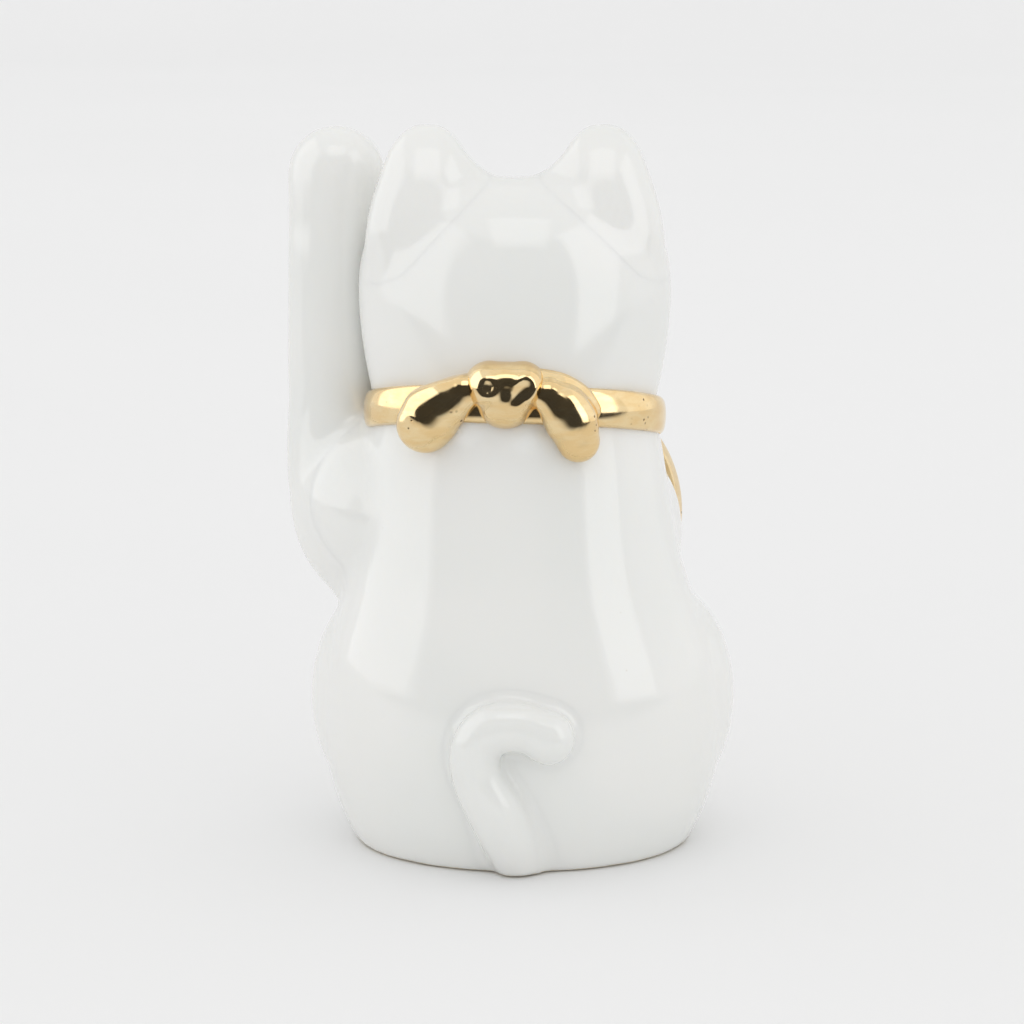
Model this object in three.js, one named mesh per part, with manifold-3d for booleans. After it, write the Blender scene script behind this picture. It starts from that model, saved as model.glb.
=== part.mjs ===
// A slip-cast porcelain beckoning cat, as the castings and sprigs that a potter lutes together.
// Millimetres, +Z up. The cat sits on z = 0 and faces -Y, so its left side is +X.
// It is built round the middle plane of its head, and the whole group is then moved so that
// the origin is the middle of its outline on the floor.
import * as THREE from "three";
import { ParametricGeometry } from "three/addons/geometries/ParametricGeometry.js";
import { mergeVertices } from "three/addons/utils/BufferGeometryUtils.js";
import Module from "manifold-3d";

const wasm = await Module();
wasm.setup();

// ---------- Driving dimensions ----------

const slipLine = 0.3; // gap left for the slip between two luted pieces
const bite = 0.9; // how deep a luted piece is scored into the one that carries it
const castWall = 3.2; // wall of the two hollow castings

// The torso is a round form through four stations.
const baseHalfWidth = 27.6;
const baseHalfDepth = 24;
const baseShift = -1.75; // the base stands this far to the cat's right of its head
const edgeRound = 1.6; // rounding of the bottom edge
const hipHeight = 22;
const hipHalfWidth = 32.6;
const hipHalfDepth = 28;
const hipShift = -1.3;
const hipBackSet = 1.8; // the hips sit this far behind the neck
const hipFullness = 1;
const waistHeight = 48;
const waistHalfWidth = 24.6;
const waistHalfDepth = 24;
const waistBackSet = 0.6;
const waistFullness = 0.5;
const neckHeight = 70; // floor to the middle of the collar
const neckHalfWidth = 22.6;
const neckHalfDepth = 19.2;

const haunchHalfWidth = 13.6;
const haunchHalfDepth = 20;
const haunchHalfHeight = 19;
const haunchReach = 2.2; // how far a haunch stands out from the hip
const haunchForward = 3;
const haunchRise = 1.5; // over the hip

const footRingWidth = 4.5;
const footRecess = 1.6; // depth of the hollow inside the foot ring
const floorWall = 4; // floor to the inside of the casting
const pourHoleRadius = 9; // the slip is poured in and out here, and the kiln air gets out

const headHalfWidth = 25.3;
const headHalfDepth = 21.4;
const headHalfHeight = 21.8;
const headRise = 17.4; // middle of the collar to the middle of the head
const headSquareness = 2.8; // 2 is an ellipsoid, and more is squarer from behind
const cheekRadius = 6.4;
const cheekSpacing = 9.4;
const muzzleDrop = 9.5; // middle of the head down to the middle of the muzzle

const earRise = 8.6; // crown of the head to the ear tip
const earSpacing = 28.8; // tip to tip
const earBlunt = 2.7; // half width of an ear is this times the square root of the depth below its tip
const earThinness = 0.76; // depth of an ear over its width
const earSetBack = 3; // middle of the head back to the middle of an ear
const earRoot = 15; // ear tip down to the buried end

const legRadius = 7.3;
const shoulderRadius = 9;
const pawRadius = 7.8;
const legTurn = THREE.MathUtils.degToRad(-21); // where the raised leg stands round the head
const pawDrop = 1.2; // ear tips down to the top of the raised paw
const toeRadius = 2.9;

const hindPawHalfWidth = 7.4;
const hindPawHalfLength = 9.5;
const hindPawHeight = 10.5;
const hindPawSpacing = 27;
const hindPawInset = 5.5; // middle of the paw behind the front of the hips

const tailRadius = 3.6;
const tailRootRadius = 4.8;
const tailHeight = 29.5; // floor to the top of the curl

const collarHeight = 6.2;
const collarStand = 1.7; // how far the collar stands off the neck
const collarTilt = THREE.MathUtils.degToRad(12); // it slopes down towards the chest

const bowShift = 1.5; // the bow is tied this far to the cat's left of the nape
const knotRise = 1.2; // middle of the knot over the middle of the collar
const knotHalfWidth = 6.7;
const knotHalfHeight = 5.7;
const knotHalfDepth = 4.6;
const bowLoopHalfLength = 8;
const bowLoopHalfWidth = 4.5;
const bowLoopHalfDepth = 3.6;

const bellRadius = 5.6;
const bellShift = 1.6; // the bell hangs this far to the cat's left of the chest
const bellSlot = 1.1;
const lugRadius = 2.2;
const lugWire = 0.8;

const coinFromBell = 3.3;
const coinLength = 30;
const coinWidth = 21;
const coinThickness = 3;
const coinRim = 1.4;
const coinRimHeight = 0.5;
const coinTilt = THREE.MathUtils.degToRad(11); // its top leans to the cat's middle
const coinTurn = THREE.MathUtils.degToRad(-20); // it faces a little to the cat's right

const enamel = 0.6; // thickness of a raised enamel or gold dot
const eyeHalfWidth = 3.4;
const eyeHalfHeight = 2.3;
const eyeSpacing = 21;
const noseHalfWidth = 2;

// ---------- Helpers ----------

// A closed geometry as a solid with its faces pointing out.
function solid(geometry) {
  const bare = geometry.clone();
  bare.deleteAttribute("normal");
  bare.deleteAttribute("uv");
  const merged = mergeVertices(bare, 1e-4);
  const at = merged.attributes.position.array;
  const faces = [];
  let volume = 0;
  const [a, b, c] = [new THREE.Vector3(), new THREE.Vector3(), new THREE.Vector3()];
  for (let i = 0; i < merged.index.count; i += 3) {
    const [p, q, r] = merged.index.array.slice(i, i + 3);
    if (p === q || q === r || r === p) continue;
    faces.push([p, q, r]);
    a.fromArray(at, 3 * p);
    b.fromArray(at, 3 * q);
    c.fromArray(at, 3 * r);
    volume += a.dot(b.cross(c));
  }
  const outward = volume > 0 ? faces : faces.map(([p, q, r]) => [p, r, q]);
  const triVerts = Uint32Array.from(outward.flat());
  return new wasm.Manifold(new wasm.Mesh({ numProp: 3, vertProperties: at, triVerts }));
}

// A round form about `middle`. In plan it is an ellipse, and its side view is squarer than an
// ellipse when `squareness` is over 2.
function bulb(middle, radii, { squareness = 2, grow = 0, turn = [0, 0, 0], detail = 22 } = {}) {
  const geometry = new THREE.SphereGeometry(1, detail, Math.round(detail * 0.6));
  geometry.rotateX(Math.PI / 2);
  const position = geometry.attributes.position;
  const point = new THREE.Vector3();
  for (let i = 0; i < position.count; i++) {
    point.fromBufferAttribute(position, i);
    const plan = Math.hypot(point.x, point.y);
    const size = (plan ** squareness + Math.abs(point.z) ** squareness) ** (1 / squareness);
    point.divideScalar(size);
    position.setXYZ(i, point.x, point.y, point.z);
  }
  geometry.scale(radii[0] + grow, radii[1] + grow, radii[2] + grow);
  const spin = new THREE.Matrix4().makeRotationFromEuler(new THREE.Euler(...turn));
  geometry.applyMatrix4(spin);
  geometry.translate(...middle);
  return solid(geometry);
}

// A limb of round section through `stations`, each [x, y, z, radius], with rounded ends.
function limb(stations, { grow = 0, sides = 14, steps = 18 } = {}) {
  const path = new THREE.CatmullRomCurve3(stations.map(([x, y, z]) => new THREE.Vector3(x, y, z)));
  const girth = new THREE.CatmullRomCurve3(stations.map((s) => new THREE.Vector3(s[3] + grow, 0, 0)));
  const frames = path.computeFrenetFrames(steps, false);
  const tube = new ParametricGeometry((u, v, target) => {
    // The first and last rings close on the path's ends.
    const step = Math.min(Math.max(Math.round(v * (steps + 2)) - 1, 0), steps);
    const closed = v === 0 || v === 1;
    path.getPointAt(step / steps, target);
    if (closed) return;
    const along = path.getUtoTmapping(step / steps);
    const radius = girth.getPoint(along).x;
    const angle = (u % 1) * 2 * Math.PI;
    target.addScaledVector(frames.normals[step], radius * Math.cos(angle));
    target.addScaledVector(frames.binormals[step], radius * Math.sin(angle));
  }, sides, steps + 2);
  const ends = [stations[0], stations[stations.length - 1]];
  const caps = ends.map(([x, y, z, r]) => bulb([x, y, z], [r, r, r], { grow: grow - 0.01, detail: sides }));
  return solid(tube).add(caps[0]).add(caps[1]);
}

// Everything below (side -1) or above (side 1) a plane through `point`, tilted about X.
function halfSpace(point, tilt, side) {
  const size = 400;
  const box = new THREE.BoxGeometry(size, size, size);
  box.translate(0, 0, (side * size) / 2);
  box.rotateX(tilt);
  box.translate(...point);
  return solid(box);
}

// ---------- Torso ----------

const foot = { z: 0, width: baseHalfWidth - edgeRound, depth: baseHalfDepth - edgeRound, x: baseShift, y: 0 };
const edge = { z: edgeRound, width: baseHalfWidth, depth: baseHalfDepth, x: baseShift, y: 0 };
const hip = { z: hipHeight, width: hipHalfWidth, depth: hipHalfDepth, x: hipShift, y: hipBackSet };
const waist = { z: waistHeight, width: waistHalfWidth, depth: waistHalfDepth, x: 0, y: waistBackSet };
const neck = { z: neckHeight, width: neckHalfWidth, depth: neckHalfDepth, x: 0, y: 0 };
const nape = { ...neck, z: neckHeight + headRise / 2, width: neckHalfWidth - 2, depth: neckHalfDepth - 2 };

// The station halfway between two, fuller than their mean by `full`.
function between(low, high, full) {
  const mean = (key) => (low[key] + high[key]) / 2;
  const [width, depth] = [mean("width") + full, mean("depth") + full];
  return { z: mean("z"), width, depth, x: mean("x"), y: mean("y") };
}

const torsoStations = [
  foot,
  edge,
  between(edge, hip, hipFullness),
  hip,
  between(hip, waist, waistFullness),
  waist,
  neck,
  nape,
];

// The torso's round form, made larger all round by `grow`.
function torsoForm(grow) {
  const outline = new THREE.CatmullRomCurve3(
    torsoStations.map((s) => new THREE.Vector3(s.width + grow, s.depth + grow, s.z)));
  const middle = new THREE.CatmullRomCurve3(torsoStations.map((s) => new THREE.Vector3(s.x, s.y, s.z)));
  const steps = 18;
  const size = new THREE.Vector3();
  const geometry = new ParametricGeometry((u, v, target) => {
    const along = Math.min(Math.max((v * (steps + 2) - 1) / steps, 0), 1);
    outline.getPoint(along, size);
    middle.getPoint(along, target);
    if (v === 0) target.z -= Math.max(grow, 0);
    if (v === 0 || v === 1) return;
    const angle = (u % 1) * 2 * Math.PI;
    target.x += size.x * Math.cos(angle);
    target.y += size.y * Math.sin(angle);
    target.z = size.z;
  }, 32, steps + 2);
  return solid(geometry);
}

const haunchX = hipHalfWidth + haunchReach - haunchHalfWidth;

function bodyForm(grow) {
  let form = torsoForm(grow);
  for (const side of [1, -1]) {
    const middle = [hipShift + side * haunchX, -haunchForward, hipHeight + haunchRise];
    const radii = [haunchHalfWidth, haunchHalfDepth, haunchHalfHeight];
    form = form.add(bulb(middle, radii, { squareness: 2.3, grow }));
  }
  return form;
}

const neckPoint = [0, 0, neckHeight];
const floorPlane = halfSpace([0, 0, 0], 0, -1);

function bodyShell() {
  const hollow = torsoForm(-castWall).subtract(halfSpace([0, 0, floorWall], 0, -1));
  const footHollow = torsoForm(-footRingWidth).subtract(halfSpace([0, 0, footRecess], 0, 1));
  const pourHole = new THREE.CylinderGeometry(pourHoleRadius, pourHoleRadius, 4 * floorWall, 24);
  pourHole.rotateX(Math.PI / 2);
  pourHole.translate(baseShift, 0, 0);
  const neckLine = [0, 0, neckHeight - slipLine / 2];
  return bodyForm(0)
    .subtract(hollow)
    .subtract(footHollow)
    .subtract(solid(pourHole))
    .subtract(halfSpace(neckLine, collarTilt, 1))
    .subtract(collar(slipLine))
    .subtract(floorPlane);
}

// ---------- Head ----------

const headMiddle = [0, -0.6, neckHeight + headRise];
const muzzleY = headMiddle[1] - headHalfDepth + 2.4;
const muzzleZ = headMiddle[2] - muzzleDrop;

function headForm(grow) {
  const radii = [headHalfWidth, headHalfDepth, headHalfHeight];
  let form = bulb(headMiddle, radii, { squareness: headSquareness, grow, detail: 30 });
  for (const side of [1, -1]) {
    const cheek = [(side * cheekSpacing) / 2, muzzleY, muzzleZ];
    form = form.add(bulb(cheek, [cheekRadius, cheekRadius - 1, cheekRadius - 1.2], { grow, detail: 14 }));
  }
  return form;
}

function headShell() {
  const radii = [headHalfWidth - castWall, headHalfDepth - castWall, headHalfHeight - castWall];
  const hollow = bulb(headMiddle, radii, { squareness: headSquareness, detail: 22 });
  const neckLine = [0, 0, neckHeight + slipLine / 2];
  return headForm(0)
    .add(torsoForm(0))
    .subtract(hollow)
    .subtract(torsoForm(-castWall))
    .subtract(halfSpace(neckLine, collarTilt, -1))
    .subtract(collar(slipLine));
}

// An ear is a blunt cone with a hollow front. Its outline is a parabola.
function ear(side) {
  const tip = headMiddle[2] + headHalfHeight + earRise;
  const outline = [];
  const steps = 10;
  for (let i = 0; i <= steps; i++) {
    const depth = earRoot * (i / steps) ** 2;
    outline.push(new THREE.Vector2(earBlunt * Math.sqrt(depth), -depth));
  }
  outline.push(new THREE.Vector2(0, -earRoot));
  const cone = new THREE.LatheGeometry(outline.reverse(), 24);
  cone.rotateX(Math.PI / 2);
  cone.scale(1, earThinness, 1);
  const at = [(side * earSpacing) / 2, headMiddle[1] + earSetBack, tip];
  cone.translate(...at);
  const front = [at[0], at[1] - earBlunt * 2.6, tip - earRise * 0.75];
  const hollow = bulb(front, [earBlunt * 1.25, earBlunt * 1.5, earRise * 0.55], { detail: 16 });
  return solid(cone).subtract(hollow);
}

// A raised dot of enamel that follows the head's surface inside an ellipse seen from the front.
function enamelDot(x, z, halfWidth, halfHeight) {
  const stamp = new THREE.CylinderGeometry(1, 1, headHalfDepth, 24);
  stamp.scale(halfWidth, 1, halfHeight);
  stamp.translate(x, headMiddle[1] - headHalfDepth, z);
  return solid(stamp).intersect(headForm(slipLine + enamel)).subtract(headForm(slipLine));
}

// ---------- Legs and tail ----------

// The raised leg stands against the side of the head, turned forward of its widest line.
const headRim = [headHalfWidth * Math.cos(legTurn), headHalfDepth * Math.sin(legTurn)];
const rimSlope = Math.hypot(headRim[0] / headHalfWidth ** 2, headRim[1] / headHalfDepth ** 2);
const rimNormal = [headRim[0] / headHalfWidth ** 2 / rimSlope, headRim[1] / headHalfDepth ** 2 / rimSlope];
const legX = headRim[0] + rimNormal[0] * (legRadius - bite);
const legY = headMiddle[1] + headRim[1] + rimNormal[1] * (legRadius - bite);
const pawTop = headMiddle[2] + headHalfHeight + earRise - pawDrop;

const raisedStations = [
  [waistHalfWidth - 4.5, legY + 3, waistHeight - 8, shoulderRadius],
  [waistHalfWidth + 2, legY + 1.5, waistHeight + 3, shoulderRadius],
  [legX - 0.5, legY, waistHeight + 14, legRadius + 0.7],
  [legX, legY, (waistHeight + pawTop) / 2, legRadius],
  [legX, legY - 0.6, pawTop - 2.4 * pawRadius, legRadius],
  [legX - 0.6, legY - 1.6, pawTop - pawRadius, pawRadius],
];

// Three short toes that stand out from the front of a paw.
function toes(middle, spread, radius) {
  const [x, y, z] = middle;
  const radii = [radius, radius, radius];
  const row = [-1, 0, 1].map((place) => bulb([x + place * spread, y, z], radii, { detail: 10 }));
  return row.reduce((all, toe) => all.add(toe));
}

function raisedForeleg() {
  const paw = raisedStations[raisedStations.length - 1];
  const toeMiddle = [paw[0], paw[1] - pawRadius + 2, paw[2] - 1.5];
  return limb(raisedStations)
    .add(toes(toeMiddle, toeRadius * 1.5, toeRadius))
    .subtract(bodyForm(slipLine))
    .subtract(headForm(slipLine))
    .subtract(collar(slipLine))
    .subtract(earLip(1));
}

// The ear's skin, thicker by the slip line, so that the paw keeps clear of it.
function earLip(side) {
  const steps = 4;
  let lip = ear(side);
  for (let i = 0; i < steps; i++) {
    const angle = (2 * Math.PI * i) / steps;
    lip = lip.add(ear(side).translate([slipLine * Math.cos(angle), slipLine * Math.sin(angle), 0]));
  }
  return lip;
}

// The coin stands beside the bell, against the right of the chest.
const coinReach = Math.hypot(coinWidth * Math.cos(coinTilt), coinLength * Math.sin(coinTilt)) / 2;
const coinX = bellShift - bellRadius - coinFromBell - coinReach * Math.cos(coinTurn);
const coinMiddle = [coinX, -waistHalfDepth + 4.8, neckHeight - 17];

const loweredStations = [
  [-neckHalfWidth + 8.6, -3, neckHeight - 9, legRadius - 1],
  [-waistHalfWidth + 5.2, -5, waistHeight + 5, legRadius + 0.5],
  [coinMiddle[0] - 2.2, -9, waistHeight - 5, legRadius + 0.3],
  [coinMiddle[0] - 0.7, coinMiddle[1] + 2.5, coinMiddle[2] - coinLength / 2 - 1.5, legRadius - 0.8],
  [coinMiddle[0] + 3.2, coinMiddle[1] - 4.6, coinMiddle[2] - coinLength / 2 + 3.5, legRadius - 0.8],
  [coinMiddle[0] + 5, coinMiddle[1] - 5.6, coinMiddle[2] - coinLength / 2 + 8.5, legRadius - 1],
];

function loweredForeleg() {
  return limb(loweredStations)
    .subtract(bodyForm(slipLine))
    .subtract(coin(slipLine));
}

function hindPaw(side) {
  const middle = [baseShift + (side * hindPawSpacing) / 2, -hipHalfDepth + hindPawInset, hindPawHeight / 2];
  const radii = [hindPawHalfWidth, hindPawHalfLength, hindPawHeight / 2];
  const front = [middle[0], middle[1] - hindPawHalfLength + 2.6, hindPawHeight * 0.4];
  return bulb(middle, radii, { squareness: 2.4 })
    .add(toes(front, toeRadius * 1.45, toeRadius))
    .subtract(bodyForm(slipLine))
    .subtract(floorPlane);
}

// How far back the torso reaches at a height, between two stations.
function backAt(z) {
  const above = torsoStations.findIndex((s) => s.z >= z);
  const [low, high] = [torsoStations[above - 1], torsoStations[above]];
  const share = (z - low.z) / (high.z - low.z);
  return THREE.MathUtils.lerp(low.y + low.depth, high.y + high.depth, share);
}

const tailTop = tailHeight - tailRadius;
// Each row is how far the tail is to the cat's left, its height, and its radius.
const tailRoute = [
  [-2.4, tailRootRadius * 0.7, tailRootRadius],
  [2.4, tailTop * 0.3, tailRootRadius - 0.4],
  [6.6, tailTop * 0.65, tailRadius],
  [6.2, tailTop * 0.92, tailRadius],
  [1.4, tailTop, tailRadius],
  [-4.2, tailTop * 0.96, tailRadius],
  [-6, tailTop * 0.8, tailRadius - 0.3],
];

function tail() {
  const stations = tailRoute.map(([x, z, r]) => [x + hipShift, backAt(z) + r * 0.3, z, r]);
  return limb(stations, { sides: 12, steps: 24 }).subtract(bodyForm(slipLine)).subtract(floorPlane);
}

// ---------- Collar and bow ----------

const collarHalfWidth = neckHalfWidth + collarStand;
const collarHalfDepth = (neckHalfDepth + collarStand) / Math.cos(collarTilt);
const collarInset = collarStand + bite; // outer face to the inner one

function collar(grow) {
  const outer = collarHalfWidth + grow;
  const inner = collarHalfWidth - collarInset - grow;
  const half = collarHeight / 2 + grow;
  const bevel = collarStand * 0.45;
  const section = [
    [inner, -half],
    [outer - bevel, -half],
    [outer, -half + bevel],
    [outer, half - bevel],
    [outer - bevel, half],
    [inner, half],
    [inner, -half],
  ];
  const ring = new THREE.LatheGeometry(section.map(([r, z]) => new THREE.Vector2(r, z)), 36);
  ring.rotateX(Math.PI / 2);
  ring.scale(1, collarHalfDepth / collarHalfWidth, 1);
  ring.rotateX(collarTilt);
  ring.translate(...neckPoint);
  return solid(ring);
}

const napeY = neckHalfDepth + collarStand;
const napeZ = neckHeight + napeY * Math.tan(collarTilt);
const knotMiddle = [bowShift, napeY + 0.4, napeZ + knotRise];

function bowKnot(grow) {
  const radii = [knotHalfWidth, knotHalfDepth, knotHalfHeight];
  return bulb(knotMiddle, radii, { squareness: 2.4, grow });
}

// A drooping loop: it leaves the knot's side and hangs down and outwards.
function bowLoop(side, grow) {
  const droop = side > 0 ? THREE.MathUtils.degToRad(52) : THREE.MathUtils.degToRad(66);
  const reach = knotHalfWidth + bowLoopHalfLength * Math.cos(droop) - 0.4;
  const x = bowShift + side * reach;
  const across = Math.min(Math.abs(x) / collarHalfWidth, 0.95);
  const y = napeY * Math.sqrt(1 - across ** 2) + 1.2;
  const z = knotMiddle[2] - bowLoopHalfLength * Math.sin(droop) + 3.2;
  const radii = [bowLoopHalfLength, bowLoopHalfDepth, bowLoopHalfWidth];
  return bulb([x, y, z], radii, { grow, turn: [0, side * droop, -side * 0.3], detail: 18 });
}

function neckForm() {
  return collar(slipLine).add(bodyForm(slipLine)).add(headForm(slipLine));
}

// ---------- Bell and coin ----------

const chinY = -neckHalfDepth - collarStand;
const chinZ = neckHeight + chinY * Math.tan(collarTilt) - collarHeight / 2;
const bellMiddle = [bellShift, chinY - bellRadius * 0.55, chinZ - lugRadius - bellRadius + 1.2];

function bellForm(grow) {
  return bulb(bellMiddle, [bellRadius, bellRadius, bellRadius], { grow });
}

function bell() {
  const rib = new THREE.TorusGeometry(bellRadius, 0.55, 6, 24);
  rib.translate(...bellMiddle);
  const slot = new THREE.BoxGeometry(bellRadius * 1.3, bellRadius * 2, bellSlot);
  slot.rotateX(Math.PI / 2);
  slot.translate(bellMiddle[0], bellMiddle[1], bellMiddle[2] - bellRadius);
  return bellForm(0).add(solid(rib)).subtract(solid(slot)).subtract(neckForm());
}

function bellLug() {
  const ring = new THREE.TorusGeometry(lugRadius, lugWire, 8, 16);
  ring.rotateY(Math.PI / 2);
  ring.translate(bellMiddle[0], bellMiddle[1] + 0.8, bellMiddle[2] + bellRadius + lugRadius - 0.9);
  return solid(ring).subtract(bellForm(slipLine)).subtract(neckForm());
}

// The coin is an upright oval plate with a raised rim.
function coinPlate(halfWidth, halfHeight, thickness, forward) {
  const plate = new THREE.CylinderGeometry(1, 1, thickness, 40);
  plate.scale(halfWidth, 1, halfHeight);
  plate.translate(0, -forward, 0);
  plate.rotateY(coinTilt);
  plate.rotateZ(coinTurn);
  plate.translate(...coinMiddle);
  return solid(plate);
}

function coin(grow) {
  const half = [coinWidth / 2 + grow, coinLength / 2 + grow];
  return coinPlate(...half, coinThickness + 2 * grow, 0);
}

function coinPiece() {
  const face = [coinWidth / 2 - coinRim, coinLength / 2 - coinRim];
  const sunk = coinPlate(...face, 2 * coinRimHeight, coinThickness / 2);
  return coin(0).subtract(sunk).subtract(neckForm());
}

// ---------- Assembly ----------

const porcelain = { color: "#eeeeec", roughness: 0.08, metalness: 0 };
const goldLustre = { color: "#d9b068", roughness: 0.16, metalness: 1 };
const blackEnamel = { color: "#1b1a19", roughness: 0.12, metalness: 0 };

const group = new THREE.Group();

function place(name, shape, finish) {
  const { vertProperties, triVerts } = shape.getMesh();
  const geometry = new THREE.BufferGeometry();
  geometry.setAttribute("position", new THREE.BufferAttribute(vertProperties, 3));
  geometry.setIndex(new THREE.BufferAttribute(triVerts, 1));
  geometry.computeVertexNormals();
  const mesh = new THREE.Mesh(geometry, new THREE.MeshStandardMaterial(finish));
  mesh.name = name;
  group.add(mesh);
}

const headHost = headForm(slipLine);

place("body_shell", bodyShell(), porcelain);
place("head_shell", headShell(), porcelain);
place("left_ear", ear(1).subtract(headHost), porcelain);
place("right_ear", ear(-1).subtract(headHost), porcelain);
place("raised_foreleg", raisedForeleg(), porcelain);
place("lowered_foreleg", loweredForeleg(), porcelain);
place("left_hind_paw", hindPaw(1), porcelain);
place("right_hind_paw", hindPaw(-1), porcelain);
place("tail", tail(), porcelain);
place("collar_band", collar(0), goldLustre);
place("bow_knot", bowKnot(0).subtract(neckForm()), goldLustre);
place("left_bow_loop", bowLoop(1, 0).subtract(bowKnot(slipLine)).subtract(neckForm()), goldLustre);
place("right_bow_loop", bowLoop(-1, 0).subtract(bowKnot(slipLine)).subtract(neckForm()), goldLustre);
place("bell", bell(), goldLustre);
place("bell_lug", bellLug(), goldLustre);
place("coin", coinPiece(), goldLustre);

const eyeZ = headMiddle[2] - 1.5;
place("left_eye", enamelDot(eyeSpacing / 2, eyeZ, eyeHalfWidth, eyeHalfHeight), blackEnamel);
place("right_eye", enamelDot(-eyeSpacing / 2, eyeZ, eyeHalfWidth, eyeHalfHeight), blackEnamel);
place("nose", enamelDot(0, muzzleZ + cheekRadius - 1.6, noseHalfWidth, noseHalfWidth * 0.75), goldLustre);

const bounds = new THREE.Box3().setFromObject(group);
const middle = bounds.getCenter(new THREE.Vector3());
group.position.set(-middle.x, -middle.y, -bounds.min.z);

export default group;
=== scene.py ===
# %% [markdown]
# # A gilded porcelain beckoning cat
#
# The real figurine is slip cast: liquid clay is poured into plaster moulds, the hollow torso and head
# and the small solid sprigs come out leather hard, and they are luted together with slip, fettled
# smooth, glazed, fired, and painted with liquid gold. This lesson follows that order. The castings are
# shaped first, then fused and fettled, then cut back into the pieces that the potter joined, and then
# the collar, bow, bell and coin are laid on. The frame gives the sizes, and 1 unit here is 1 metre.

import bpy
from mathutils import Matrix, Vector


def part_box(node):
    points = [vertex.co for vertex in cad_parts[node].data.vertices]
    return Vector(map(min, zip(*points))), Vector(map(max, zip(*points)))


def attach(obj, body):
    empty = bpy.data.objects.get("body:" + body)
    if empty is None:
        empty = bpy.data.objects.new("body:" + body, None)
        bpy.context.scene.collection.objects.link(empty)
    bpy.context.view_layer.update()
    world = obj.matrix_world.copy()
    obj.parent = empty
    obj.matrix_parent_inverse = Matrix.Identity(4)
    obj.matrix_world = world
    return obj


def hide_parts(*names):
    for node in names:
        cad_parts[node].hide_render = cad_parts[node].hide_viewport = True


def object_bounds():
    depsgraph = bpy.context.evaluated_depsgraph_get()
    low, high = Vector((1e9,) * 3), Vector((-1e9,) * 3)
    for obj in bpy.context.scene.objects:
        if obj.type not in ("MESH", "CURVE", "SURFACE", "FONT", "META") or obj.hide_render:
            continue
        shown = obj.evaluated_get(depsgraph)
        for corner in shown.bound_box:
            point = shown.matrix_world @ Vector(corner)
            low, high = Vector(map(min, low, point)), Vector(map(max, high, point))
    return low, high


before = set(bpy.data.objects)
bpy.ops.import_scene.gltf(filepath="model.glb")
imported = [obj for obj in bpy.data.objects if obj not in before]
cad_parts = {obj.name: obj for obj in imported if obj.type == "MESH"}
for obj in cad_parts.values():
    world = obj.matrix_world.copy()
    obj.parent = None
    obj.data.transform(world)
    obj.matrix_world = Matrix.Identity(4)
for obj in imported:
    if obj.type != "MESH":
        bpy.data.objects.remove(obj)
cad_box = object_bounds()
print("frame:", len(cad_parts), "nodes, box", cad_box)

# %% [markdown]
# ## Working in millimetres
#
# A potter thinks in millimetres and Blender in metres, so every size below is in millimetres and is
# turned into metres in one place. The frame's boxes are turned the other way, once.

# %% Units and the frame's boxes
import math

import bmesh
import bpy
from mathutils import Vector

MM = 0.001


def metres(point):
    return tuple(MM * value for value in point)


def box(node):
    """Lowest corner, highest corner and middle of a frame node, in millimetres."""
    low, high = (Vector(corner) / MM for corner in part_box(node))
    return low, high, (low + high) / 2


head_low, head_high, head_middle = box("head_shell")
middle_x = head_middle.x  # the plane that the cat's face is symmetric about
print("the cat's middle plane is at x =", round(middle_x, 2), "mm")

# %% [markdown]
# ## Small tools
#
# An operator works on whatever is selected, so each tool first selects just what it needs. `modify`
# adds a modifier and applies it at once, so every piece ends as plain mesh.

# %% Select, apply and name
def pick(*objects):
    """Selects only these objects. The last one is active."""
    bpy.ops.object.select_all(action="DESELECT")
    for each in objects:
        each.select_set(True)
    bpy.context.view_layer.objects.active = objects[-1]


def settle(name):
    """Names the active object and puts its place, turn and size into its mesh."""
    piece = bpy.context.object
    piece.name = name
    piece.data.name = name
    bpy.ops.object.transform_apply(location=True, rotation=True, scale=True)
    return piece


def modify(piece, kind, **settings):
    """Adds a modifier with these settings and applies it."""
    pick(piece)
    bpy.ops.object.modifier_add(type=kind)
    modifier = piece.modifiers[-1]
    for key, value in settings.items():
        setattr(modifier, key, value)
    bpy.ops.object.modifier_apply(modifier=modifier.name)
    return piece


def joined(name, *parts):
    """One object out of several."""
    pick(*parts)
    if len(parts) > 1:
        bpy.ops.object.join()
    return settle(name)


def copy_of(piece, name):
    pick(piece)
    bpy.ops.object.duplicate()
    return settle(name)


def discard(*objects):
    pick(*objects)
    bpy.ops.object.delete()


def faces_out():
    """In edit mode: merges doubles and turns every face outwards."""
    bpy.ops.mesh.select_all(action="SELECT")
    bpy.ops.mesh.remove_doubles(threshold=0.001 * MM)
    bpy.ops.mesh.normals_make_consistent(inside=False)


# %% [markdown]
# ## Two ways to shape clay
#
# A round casting is a stack of level rings: a disc is extruded ring by ring and each ring is scaled to
# its girth. A limb is a curve with a round bevel whose radius changes from point to point, closed with
# a ball at each end. Both could be sculpted, but rings and stations can be measured and repeated.

# %% Ring by ring
keel_shift = 0.1  # how far off the middle a keel runs, as a share of the half width


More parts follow.
